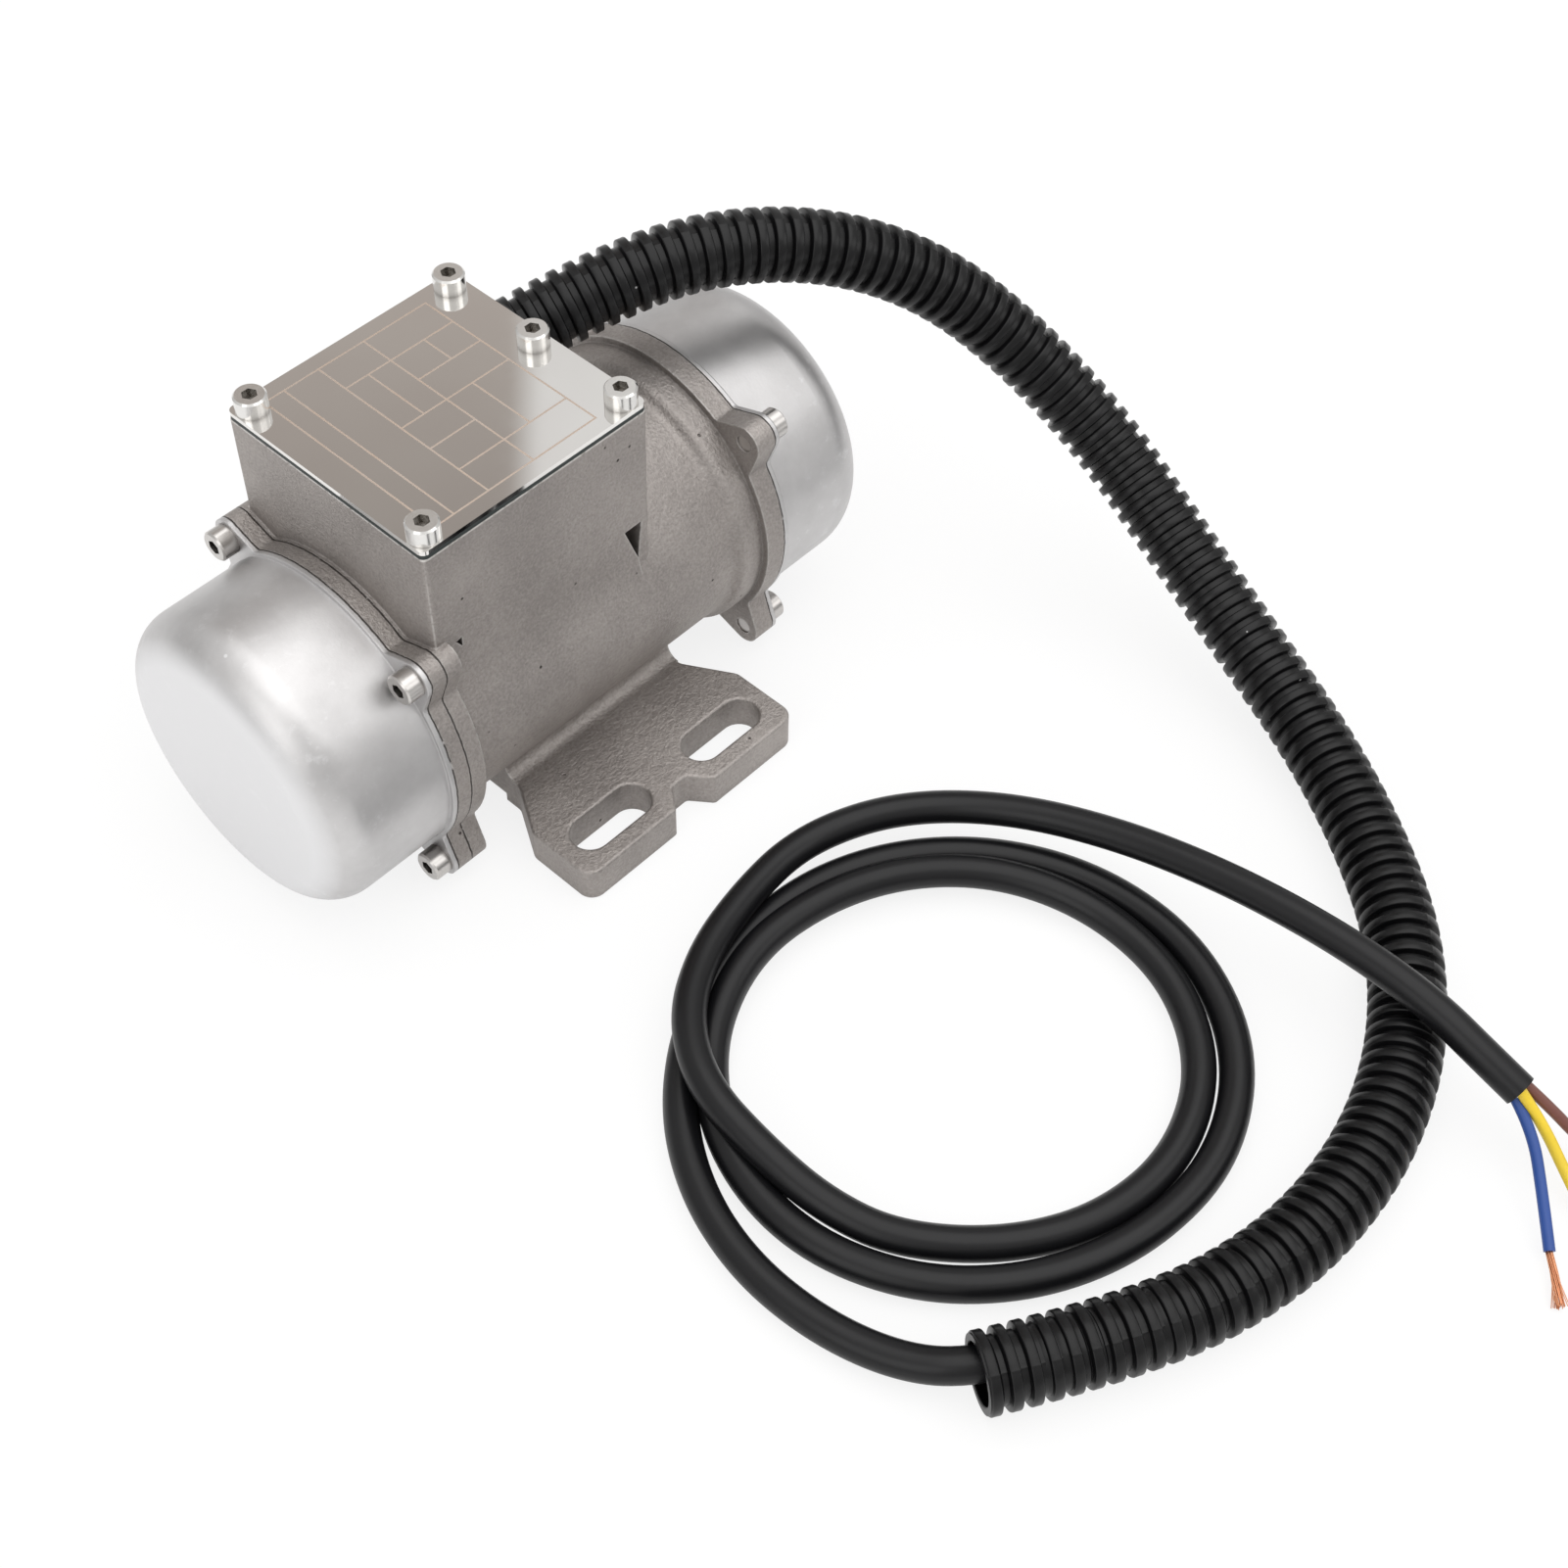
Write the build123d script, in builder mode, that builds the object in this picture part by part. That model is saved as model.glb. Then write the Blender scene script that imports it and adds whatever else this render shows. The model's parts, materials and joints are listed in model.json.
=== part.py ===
from build123d import *
from math import cos, hypot, pi, radians, sin, sqrt, tan
import os

# Small vibration motor. X is the shaft, Z is up, and the origin is on the floor under the foot's centre.

# Driving dimensions, millimetres
axis_z = 37.4             # shaft above the floor
body_r = 33.0             # barrel
bore_r = 28.0             # stator bore
flange_r = 36.6           # end flanges
lug_pitch = 28.9          # screw centres, each way from the shaft
lug_tip_r = 4.4
lug_flank = 25            # degrees between a lug's flank and its radius
casting_left = -49.6      # outer face of the end shield
casting_right = 50.1      # outer face of the housing
parting_left = -45.7      # end shield to housing
near_flange_t = 4.1       # housing flange at the end shield
flange_t = 5.5            # housing flange at the far end
collar_w, collar_h, collar_run = 4.6, 1.9, 4.4
cover_end = 80.8          # outer faces of both covers
cover_r = 35.6
cover_wall = 1.2
cover_corner_r = 10.0

box_left, box_right = -44.6, 15.7
box_half = 29.4
box_top = 95.56
box_draft = 0.5           # how far the side walls close in by the root
box_root = 48.0
box_wall = 3.2
box_floor = 73.5
box_blend_r = 24.0        # from the box's side walls into the barrel
gasket_t = 1.0
lid_t = 1.0
lid_inset = 3.7           # lid screw centres from the lid's edges
pocket_y = 24.8
far_pocket = [(-7.7, -30.1), (-2.8, -30.0), (-4.0, -40.2)]     # from the box's top edge at either end
near_pocket = [(5.4, -26.9), (6.9, -26.5), (6.9, -29.1)]

plate_t = 8.9
plate_half = 32.7         # foot plate, half its length along the shaft
plate_out = 56.8          # foot plate, from the shaft's plane to its edge
neck_half = 25.7
slot_x, slot_y = 17.5, 47.6
slot_length, slot_width = 21.6, 9.2
web_fillet = 3.2
belly_relief = 2.4        # gap under the barrel

screw_d = 4.0             # every cap screw
head_d, head_h = 7.0, 4.0
hex_size, hex_depth = 3.0, 2.0
clear_d = 4.4

capacitor_w, capacitor_l = 15.0, 34.0
terminal_h = 9.0

shaft_r, shaft_mid_r = 5.0, 7.0
shaft_end = 73.0
bearing_w, bearing_r = 9.0, 15.0
pitch_r, ball_r, ball_count = 10.0, 2.38, 8
race_gap = 0.07           # ball to groove
pocket_gap = 0.10         # ball to cage
seat_lip = 1.5
lip_r = 8.5
air_gap = 0.3
core_half = 16.0
rotor_r = 15.2
slot_count = 18

weight_t, weight_r = 8.5, 29.0
weight_start = 1.6        # casting face to the first weight
weight_gap = 0.5

conduit_d = 16.4
bush_y, bush_z = 16.5, 85.0
bush_r, bush_t, bush_hole_r = 9.2, 3.0, 6.6
cable_d = 7.4
core_d = 2.4

lug_r = lug_pitch * sqrt(2)
box_mid = (box_left + box_right) / 2
box_length = box_right - box_left
lid_top = box_top + gasket_t + lid_t
inner_flange_right = casting_right - flange_t
seat_left = casting_left + bearing_w
seat_right = casting_right - bearing_w

os.makedirs("parts", exist_ok=True)


# Plane square to the shaft, seen along +X, with local x along +Y and local y up
def across(x):
    return Plane(origin=(x, 0, axis_z), x_dir=(0, 1, 0), z_dir=(1, 0, 0))


# Plane that holds the shaft: local x along the shaft, local y up from it
along = Plane(origin=(0, 0, axis_z), x_dir=(1, 0, 0), z_dir=(0, -1, 0))


def save(part, name):
    part.label = name
    export_step(part, f"parts/{name}.step")
    print(f"{name}: {part.volume:.1f} mm3")


# Outline shared by the housing flanges, the end shield and the cover flanges
with BuildSketch() as flange_face:
    Circle(flange_r)
    flank = radians(lug_flank)
    tip_x = lug_r + lug_tip_r * sin(flank)
    tip_y = lug_tip_r * cos(flank)
    root_x = flange_r - 4
    root_y = tip_y + (tip_x - root_x) * tan(flank)
    with PolarLocations(0, 4, start_angle=45):
        Polygon((root_x, -root_y), (tip_x, -tip_y), (tip_x, tip_y), (root_x, root_y), align=None)
    with PolarLocations(lug_r, 4, start_angle=45):
        Circle(lug_tip_r)
    rim = [v for v in flange_face.vertices() if abs(hypot(v.X, v.Y) - flange_r) < 0.05]
    fillet([v for v in rim if min(abs(v.X), abs(v.Y)) > 1], radius=1.8)
flange_outline = flange_face.sketch


# Terminal box block, drafted on three sides and upright over the near flange
with BuildPart() as box_block:
    with BuildSketch(Plane.XY.offset(box_root)):
        with Locations(((box_left - 0.3 + box_right - box_draft) / 2, 0)):
            Rectangle(box_length + 0.3 - box_draft, 2 * (box_half - box_draft))
    with BuildSketch(Plane.XY.offset(box_top)):
        with Locations((box_mid, 0)):
            Rectangle(box_length, 2 * box_half)
    loft()
    fillet([e for e in box_block.edges() if abs((e % 0.5).Z) > 0.9], 1.2)
    fillet(box_block.faces().sort_by(Axis.Z)[-1].edges(), 0.3)


# Foot plate with slots and a notch between them
with BuildPart() as foot_block:
    with BuildSketch() as foot_face:
        with BuildLine():
            Polyline(
                (-neck_half, 0), (-neck_half, -26.6), (-plate_half, -38.6), (-plate_half, -plate_out),
                (-6.2, -plate_out), (-2.2, -51.6), (2.2, -51.6), (6.2, -plate_out),
                (plate_half, -plate_out), (plate_half, -38.6), (neck_half, -26.6), (neck_half, 0), close=True)
        make_face()
        fillet([v for v in foot_face.vertices() if abs(v.Y + plate_out) < 0.1 and abs(v.X) > 20], radius=3.6)
        fillet([v for v in foot_face.vertices() if abs(v.Y + 38.6) < 0.1], radius=3.0)
        fillet([v for v in foot_face.vertices() if abs(v.Y + 26.6) < 0.1], radius=3.0)
        fillet([v for v in foot_face.vertices() if abs(v.Y + 51.6) < 0.1], radius=1.5)
        fillet([v for v in foot_face.vertices() if abs(abs(v.X) - 6.2) < 0.1 and v.Y < -50], radius=1.2)
        mirror(about=Plane.XZ)
        with Locations((slot_x, slot_y), (slot_x, -slot_y), (-slot_x, slot_y), (-slot_x, -slot_y)):
            SlotOverall(slot_length, slot_width, mode=Mode.SUBTRACT)
    extrude(amount=plate_t)
    fillet(foot_block.faces().sort_by(Axis.Z)[-1].edges(), 0.7)


# Housing: barrel, flanges, terminal box, foot and the far bearing seat in one casting
with BuildPart() as housing:
    with BuildSketch(across(parting_left)):
        Circle(body_r)
    extrude(amount=casting_right - parting_left)
    with BuildSketch(across(parting_left)):
        add(flange_outline)
    extrude(amount=near_flange_t)
    with BuildSketch(across(inner_flange_right)):
        add(flange_outline)
    extrude(amount=flange_t)
    # Collar that carries the far flange, rising from the barrel in a double curve
    with BuildSketch(along):
        with BuildLine():
            low = (inner_flange_right - collar_w - collar_run, body_r)
            high = (inner_flange_right - collar_w, body_r + collar_h)
            middle = ((low[0] + high[0]) / 2, (low[1] + high[1]) / 2)
            TangentArc(low, middle, tangent=(1, 0))
            TangentArc(high, middle, tangent=(-1, 0))
            Polyline(
                high, (inner_flange_right, body_r + collar_h), (inner_flange_right, body_r - 1),
                (low[0], body_r - 1), low)
        make_face()
    revolve(axis=Axis((0, 0, axis_z), (1, 0, 0)))

    add(box_block.part)
    add(foot_block.part)

    # Rounded web where the plate runs into the barrel
    web_y = sqrt((body_r + web_fillet) ** 2 - (axis_z - plate_t - web_fillet) ** 2)
    web_z = plate_t + web_fillet
    touch = body_r / (body_r + web_fillet)
    touch_y = web_y * touch
    touch_z = axis_z - (axis_z - web_z) * touch
    with BuildSketch(Plane.YZ.offset(-neck_half)):
        with BuildLine():
            Line((14, plate_t - 2), (web_y, plate_t - 2))
            Line((web_y, plate_t - 2), (web_y, plate_t))
            RadiusArc((web_y, plate_t), (touch_y, touch_z), web_fillet)
            Line((touch_y, touch_z), (14, touch_z))
            Line((14, touch_z), (14, plate_t - 2))
        make_face()
        mirror(about=Plane.YZ)
    extrude(amount=2 * neck_half)

    # Blend from the box's side walls into the barrel, up to the pockets
    wall_y = box_half - box_draft * 0.75
    blend_z = axis_z + sqrt((body_r + box_blend_r) ** 2 - (wall_y + box_blend_r) ** 2)
    touch = body_r / (body_r + box_blend_r)
    foot_y = (wall_y + box_blend_r) * touch
    foot_z = axis_z + (blend_z - axis_z) * touch
    with BuildSketch(Plane.YZ.offset(parting_left + 1)):
        with BuildLine():
            RadiusArc((wall_y, blend_z), (foot_y, foot_z), -box_blend_r)
            Polyline((foot_y, foot_z), (wall_y - 5, foot_z), (wall_y - 5, blend_z), (wall_y, blend_z))
        make_face()
        mirror(about=Plane.YZ)
    extrude(amount=box_right + far_pocket[2][0] - parting_left - 1)

    # Relief under the barrel, so that only the two pads stand on the floor
    with Locations((0, 0, belly_relief / 2)):
        Box(2 * plate_half, 44, belly_relief, mode=Mode.SUBTRACT)

    # Inside of the terminal box, round the lid screw posts
    with BuildSketch(Plane.XY.offset(box_floor)):
        with Locations((box_mid - 0.6, 0)):
            RectangleRounded(box_length - 2 * box_wall - 1.2, 2 * (box_half - box_wall - 1), 3)
        posts = [(box_left + lid_inset, box_half - lid_inset), (box_left + lid_inset, lid_inset - box_half),
                 (box_right - lid_inset, box_half - lid_inset), (box_right - lid_inset, lid_inset - box_half),
                 (box_right - lid_inset, 0)]
        with Locations(*posts):
            Circle(4.2, mode=Mode.SUBTRACT)
    extrude(amount=box_top - box_floor, mode=Mode.SUBTRACT)
    with BuildSketch(Plane.XY.offset(box_top)):
        with Locations(*posts):
            Circle(screw_d / 2)
    extrude(amount=-12, mode=Mode.SUBTRACT)

    # Bore, far bearing seat and its lip
    with BuildSketch(across(parting_left)):
        Circle(bore_r)
    extrude(amount=seat_right - seat_lip - parting_left, mode=Mode.SUBTRACT)
    with BuildSketch(across(seat_right)):
        Circle(bearing_r)
    extrude(amount=bearing_w, mode=Mode.SUBTRACT)
    with BuildSketch(across(seat_right - seat_lip)):
        Circle(lip_r)
    extrude(amount=seat_lip, mode=Mode.SUBTRACT)

    # Lead hole from the barrel into the box, and the conduit's hole in the box wall
    with Locations((box_mid, 0, box_floor - 5)):
        Cylinder(5, 14, mode=Mode.SUBTRACT)
    with BuildSketch(Plane.YZ.offset(box_right - 8)):
        with Locations((bush_y, bush_z)):
            Circle(bush_hole_r)
    extrude(amount=10, mode=Mode.SUBTRACT)

    # Threaded holes through the lugs of each flange
    for x0, depth in ((parting_left, near_flange_t), (inner_flange_right, flange_t)):
        with BuildSketch(across(x0)):
            with PolarLocations(lug_r, 4, start_angle=45):
                Circle(screw_d / 2)
        extrude(amount=depth, mode=Mode.SUBTRACT)

    # Three-cornered pockets under the box's ends, open to the side
    for side in (1, -1):
        with BuildSketch(Plane.XZ.offset(side * pocket_y)):
            for end_x, corners in ((box_right, far_pocket), (box_left, near_pocket)):
                with BuildLine():
                    Polyline(*[(end_x + dx, box_top + dz) for dx, dz in corners], close=True)
                make_face()
        extrude(amount=side * 6, mode=Mode.SUBTRACT)
save(housing.part, "housing")


# End shield with the near bearing seat
with BuildPart() as end_shield:
    with BuildSketch(across(casting_left)):
        add(flange_outline)
    extrude(amount=parting_left - casting_left)
    with BuildSketch(across(parting_left)):
        Circle(bore_r - 0.05)
    extrude(amount=3)
    with BuildSketch(across(parting_left)):
        Circle(19)
    extrude(amount=seat_left + seat_lip - parting_left)
    with BuildSketch(across(casting_left)):
        Circle(bearing_r)
    extrude(amount=bearing_w, mode=Mode.SUBTRACT)
    with BuildSketch(across(seat_left)):
        Circle(lip_r)
    extrude(amount=seat_lip, mode=Mode.SUBTRACT)
    with BuildSketch(across(casting_left)):
        with PolarLocations(lug_r, 4, start_angle=45):
            Circle(clear_d / 2)
    extrude(amount=parting_left - casting_left, mode=Mode.SUBTRACT)
save(end_shield.part, "end_shield")


# Pressed cover: a cup with a large end radius on a thin four-eared flange
def make_cover(face_x, side):
    inner_r = cover_r - cover_wall
    inner_corner = cover_corner_r - cover_wall
    end_x = side * cover_end
    with BuildPart() as cover:
        with BuildSketch(across(face_x)):
            add(flange_outline)
        extrude(amount=side * cover_wall)
        with BuildSketch(across(face_x)):
            with PolarLocations(lug_r, 4, start_angle=45):
                Circle(clear_d / 2)
        extrude(amount=side * cover_wall, mode=Mode.SUBTRACT)
        with BuildSketch(across(face_x)):
            Circle(cover_r)
        extrude(amount=end_x - face_x)
        end_edge = cover.edges().filter_by(GeomType.CIRCLE).sort_by(Axis.X)[-1 if side > 0 else 0]
        fillet(end_edge, cover_corner_r)
        with BuildSketch(across(face_x)):
            Circle(inner_r)
        extrude(amount=end_x - face_x - side * (cover_wall + inner_corner), mode=Mode.SUBTRACT)
        with BuildSketch(along):
            with BuildLine():
                x0 = end_x - side * (cover_wall + inner_corner)
                x1 = end_x - side * cover_wall
                mid = inner_corner * sqrt(0.5)
                Line((x0, 0), (x0, inner_r))
                ThreePointArc((x0, inner_r), (x0 + side * mid, inner_r - inner_corner + mid),
                              (x1, inner_r - inner_corner))
                Line((x1, inner_r - inner_corner), (x1, 0))
                Line((x1, 0), (x0, 0))
            make_face()
        revolve(axis=Axis((0, 0, axis_z), (1, 0, 0)), mode=Mode.SUBTRACT)
    return cover.part


save(make_cover(casting_left, -1), "left_cover")
save(make_cover(casting_right, 1), "right_cover")


# Socket cap screw standing on its seat, head above, with the shank down from the seat
with BuildPart() as cap_head:
    Cylinder(head_d / 2, head_h, align=(Align.CENTER, Align.CENTER, Align.MIN))
    chamfer(cap_head.edges().filter_by(GeomType.CIRCLE).sort_by(Axis.Z)[-1], 0.4)
    with BuildSketch(Plane.XY.offset(head_h)):
        RegularPolygon(hex_size / 2, 6, major_radius=False)
    extrude(amount=-hex_depth, mode=Mode.SUBTRACT)


def cap_screw(shank):
    shank_part = Pos(0, 0, -shank / 2) * Cylinder(screw_d / 2, shank)
    return cap_head.part + shank_part


# Four cover screws: heads out, shanks through the flange stack
def cover_screws(face_x, side, shank):
    screws = []
    for sy in (-1, 1):
        for sz in (-1, 1):
            seat = Plane(origin=(face_x, sy * lug_pitch, axis_z + sz * lug_pitch), z_dir=(side, 0, 0))
            screws.append(seat.location * cap_screw(shank))
    return Compound(screws)


tip_recess = 0.3
stack_left = cover_wall + (parting_left - casting_left) + near_flange_t
stack_right = cover_wall + flange_t
save(cover_screws(casting_left - cover_wall, -1, stack_left - tip_recess), "cover_screws_left")
save(cover_screws(casting_right + cover_wall, 1, stack_right - tip_recess), "cover_screws_right")


# Lid, gasket and their five screws
def lid_layer(thick, level, wall=None):
    with BuildPart() as layer:
        with BuildSketch(Plane.XY.offset(level)):
            with Locations((box_mid, 0)):
                RectangleRounded(box_length, 2 * box_half, 1.6)
                if wall:
                    Rectangle(box_length - 2 * wall, 2 * (box_half - wall), mode=Mode.SUBTRACT)
            if wall:
                with Locations(*posts):
                    Circle(lid_inset - 0.1)
            with Locations(*posts):
                Circle(clear_d / 2, mode=Mode.SUBTRACT)
        extrude(amount=thick)
    return layer.part


save(lid_layer(gasket_t, box_top, box_wall), "lid_gasket")
save(lid_layer(lid_t, box_top + gasket_t), "terminal_lid")
save(Compound([Pos(x, y, lid_top) * cap_screw(10) for x, y in posts]), "lid_screws")


# Stator core with open slots, and the winding that fills them
tooth_tip_r = rotor_r + air_gap
with BuildPart() as stator_core:
    with BuildSketch(across(-core_half)):
        Circle(bore_r)
        Circle(tooth_tip_r, mode=Mode.SUBTRACT)
        with PolarLocations((17.0 + 24.0) / 2, slot_count):
            Rectangle(7.0, 3.0, mode=Mode.SUBTRACT)
        with PolarLocations(tooth_tip_r + 0.8, slot_count):
            Rectangle(2.6, 1.2, mode=Mode.SUBTRACT)
    extrude(amount=2 * core_half)
save(stator_core.part, "stator_core")

with BuildPart() as winding:
    for x0, x1 in ((-core_half - 9, -core_half - 0.1), (core_half + 0.1, core_half + 9)):
        with BuildSketch(across(x0)):
            Circle(25.4)
            Circle(17.2, mode=Mode.SUBTRACT)
        extrude(amount=x1 - x0)
    ends = winding.edges().filter_by(GeomType.CIRCLE).group_by(Axis.X)
    fillet(ends[0] + ends[-1], 2.5)
    with BuildSketch(across(-core_half - 0.5)):
        with PolarLocations((17.5 + 23.5) / 2, slot_count):
            Rectangle(6.0, 2.6)
    extrude(amount=2 * core_half + 1)
save(winding.part, "stator_winding")


# Shaft, rotor core and the cast end rings
groove_x = casting_right + weight_start + 2 * weight_t + weight_gap + 0.5
groove_left = casting_left - weight_start - 2 * weight_t - weight_gap - 0.5
with BuildPart() as shaft:
    with BuildSketch(across(-shaft_end)):
        Circle(shaft_r)
    extrude(amount=2 * shaft_end)
    chamfer(shaft.edges().filter_by(GeomType.CIRCLE), 0.5)
    with BuildSketch(across(seat_left)):
        Circle(shaft_mid_r)
    extrude(amount=seat_right - seat_left)
    for x0 in (groove_left - 1.1, groove_x):
        with BuildSketch(across(x0)):
            Circle(shaft_r + 1)
            Circle(4.6, mode=Mode.SUBTRACT)
        extrude(amount=1.1, mode=Mode.SUBTRACT)
save(shaft.part, "shaft")

with BuildPart() as rotor_core:
    with BuildSketch(across(-core_half)):
        Circle(rotor_r)
        Circle(shaft_mid_r, mode=Mode.SUBTRACT)
    extrude(amount=2 * core_half)
save(rotor_core.part, "rotor_core")

end_rings = []
for x0 in (-core_half - 3, core_half):
    with BuildPart() as end_ring:
        with BuildSketch(across(x0)):
            Circle(rotor_r - 0.4)
            Circle(9, mode=Mode.SUBTRACT)
        extrude(amount=3)
    end_rings.append(end_ring.part)
save(Compound(end_rings), "rotor_end_rings")


# Deep-groove ball bearing centred on one place of the shaft
def race(r0, r1, middle):
    with BuildPart() as ring:
        with BuildSketch(along):
            with Locations((middle, (r0 + r1) / 2)):
                Rectangle(bearing_w, r1 - r0)
            with Locations((middle, pitch_r)):
                Circle(ball_r + race_gap, mode=Mode.SUBTRACT)
        revolve(axis=Axis((0, 0, axis_z), (1, 0, 0)))
    return ring.part


def make_bearing(middle, name):
    save(race(11.4, bearing_r, middle), f"bearing_outer_{name}")
    save(race(shaft_r, 8.6, middle), f"bearing_inner_{name}")
    balls = []
    with BuildPart() as cage:
        with BuildSketch(across(middle - 3)):
            Circle(10.7)
            Circle(9.3, mode=Mode.SUBTRACT)
        extrude(amount=6)
        for i in range(ball_count):
            turn = 2 * pi * i / ball_count
            place = (middle, pitch_r * cos(turn), axis_z + pitch_r * sin(turn))
            with Locations(place):
                Sphere(ball_r + pocket_gap, mode=Mode.SUBTRACT)
            balls.append(Pos(*place) * Solid.make_sphere(ball_r, angle1=-90, angle2=90))
    save(cage.part, f"bearing_cage_{name}")
    save(Compound(balls), f"bearing_balls_{name}")


make_bearing(casting_left + bearing_w / 2, "left")
make_bearing(casting_right - bearing_w / 2, "right")


# Eccentric weight: a half disc under a split hub with a clamp screw across the split
clamp_z = 11.0
ear_half = 8.5


def make_weight(x0):
    with BuildPart() as weight:
        with BuildSketch(across(x0)):
            Circle(weight_r)
            with Locations((0, weight_r - 2)):
                Rectangle(2 * weight_r, 2 * weight_r, mode=Mode.SUBTRACT)
            Circle(9.5)
            with Locations((0, 9)):
                Rectangle(2 * ear_half, 13)
            Circle(shaft_r, mode=Mode.SUBTRACT)
            with Locations((0, 11)):
                Rectangle(1.6, 16, mode=Mode.SUBTRACT)
        extrude(amount=weight_t)
        with BuildSketch(Plane(origin=(x0 + weight_t / 2, -12, axis_z + clamp_z), z_dir=(0, 1, 0))):
            Circle(screw_d / 2)
        extrude(amount=24, mode=Mode.SUBTRACT)
    return weight.part


def clamp_screw(x0):
    seat = Plane(origin=(x0 + weight_t / 2, ear_half, axis_z + clamp_z), z_dir=(0, 1, 0))
    return seat.location * cap_screw(2 * ear_half - 1)


def retaining_ring(x0):
    with BuildPart() as ring:
        with BuildSketch(across(x0)):
            Circle(7.2)
            Circle(4.65, mode=Mode.SUBTRACT)
            with Locations((0, 6)):
                Rectangle(3, 6, mode=Mode.SUBTRACT)
        extrude(amount=1.0)
    return ring.part


weight_step = weight_t + weight_gap
right_inner = casting_right + weight_start
left_inner = casting_left - weight_start - weight_t
for name, x0, x1 in (("right", right_inner, right_inner + weight_step), ("left", left_inner, left_inner - weight_step)):
    save(make_weight(x0), f"weight_fixed_{name}")
    save(make_weight(x1), f"weight_adjustable_{name}")
    save(Compound([clamp_screw(x0), clamp_screw(x1)]), f"clamp_screws_{name}")
save(Compound([retaining_ring(groove_left - 1.05), retaining_ring(groove_x + 0.05)]), "retaining_rings")


# Run capacitor and terminal block on the box floor
with BuildPart() as capacitor:
    with BuildSketch(Plane.XY.offset(box_floor)):
        with Locations((box_left + box_wall + 11.9, 4)):
            RectangleRounded(capacitor_w, capacitor_l, 2)
    extrude(amount=box_top - box_floor - 5)
    fillet(capacitor.edges().group_by(Axis.Z)[-1], 1)
save(capacitor.part, "capacitor")

with BuildPart() as terminal_block:
    with BuildSketch(Plane.XY.offset(box_floor)):
        with Locations((-3, -14)):
            Rectangle(24, 12)
    extrude(amount=terminal_h)
    with BuildSketch(Plane.XY.offset(box_floor + terminal_h)):
        with Locations((-3, -14)):
            with GridLocations(8, 1, 3, 1):
                Circle(2.2)
    extrude(amount=-4, mode=Mode.SUBTRACT)
save(terminal_block.part, "terminal_block")


# Bush that holds the conduit in the box wall
with BuildPart() as bush:
    with BuildSketch(Plane.YZ.offset(box_right)):
        with Locations((bush_y, bush_z)):
            Circle(bush_r)
    extrude(amount=bush_t)
    with BuildSketch(Plane.YZ.offset(box_right - 6)):
        with Locations((bush_y, bush_z)):
            Circle(bush_hole_r - 0.1)
    extrude(amount=6)
save(bush.part, "conduit_bush")


# A cord's tube: straight runs joined by arcs as large as the shorter run of each corner allows
def cord_tube(points, diameter, name):
    spots = [Vector(*p) for p in points]
    radii = []
    for before, here, after in zip(spots, spots[1:], spots[2:]):
        turn = radians((here - before).get_angle(after - here))
        radii.append(0.45 * min((here - before).length, (after - here).length) / tan(turn / 2))
    with BuildPart() as tube:
        with BuildLine() as path:
            FilletPolyline(*points, radius=radii)
        with BuildSketch(Plane(origin=points[0], z_dir=path.wire() % 0)):
            Circle(diameter / 2)
        sweep(path=path.wire())
    length = path.wire().length
    share = tube.part.volume / (pi * diameter ** 2 / 4 * length)
    print(f"{name}: length {length:.0f}, smallest radius {min(radii):.1f}, volume share {share:.4f}")
    save(tube.part, name)


# Corrugated conduit: out of the box wall, over the far cover, down to the floor and round in front
conduit_route = [
    (19.5, 16.5, 85), (40, 9, 91.5), (64, -1.5, 94), (87, -15, 89), (106.5, -29.5, 76.5), (119, -46.5, 59.5),
    (124.5, -70, 42), (121.5, -96, 27.5), (116.5, -121, 17), (109, -146.5, 10.5), (95, -172, 8.2),
    (76, -195, 8.2), (50.5, -212, 8.2), (22, -220, 8.2), (-8, -219, 8.2), (-37.5, -208, 8.2), (-63.5, -191.5, 8.2)]
cord_tube(conduit_route, conduit_d, "conduit")

# Cable from the conduit's end to the coil
lead_route = [
    (-62.5, -190, 8), (-68.5, -176.5, 5), (-73, -161, 4), (-74, -143.5, 3.7), (-70.5, -125.5, 3.7),
    (-60.5, -109.5, 3.7), (-45.5, -98.5, 3.7)]
cord_tube(lead_route, cable_d, "cable_lead")

# Two loose turns that lie flat on the floor
coil_x, coil_y = -8.0, -142.0
coil_out, coil_in = 60.0, 44.5
with BuildPart() as coil:
    with BuildSketch():
        with Locations((coil_x, coil_y)):
            Circle(coil_out)
        with Locations((coil_x + 1, coil_y + 2)):
            Circle(coil_in, mode=Mode.SUBTRACT)
    extrude(amount=cable_d)
    fillet(coil.edges().filter_by(GeomType.CIRCLE), 3.0)
save(coil.part, "cable_coil")

# Last turn: up over the coil, over the conduit and out to the jacket's end
tail_route = [
    (-49, -158.5, 3.8), (-54, -141, 4.2), (-55, -123, 8), (-49, -107, 11.6), (-37, -94.5, 12.6),
    (-21, -86, 12.6), (-2.5, -82.5, 12.7), (16, -87, 12.6), (32, -99, 12.8), (44, -116, 13.5), (52, -136, 15),
    (56, -156, 18), (57, -175.5, 21), (57, -194.5, 22.5), (56, -211.5, 22), (55.5, -224, 18.5), (56, -233.5, 15)]
cord_tube(tail_route, cable_d, "cable_tail")

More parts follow.
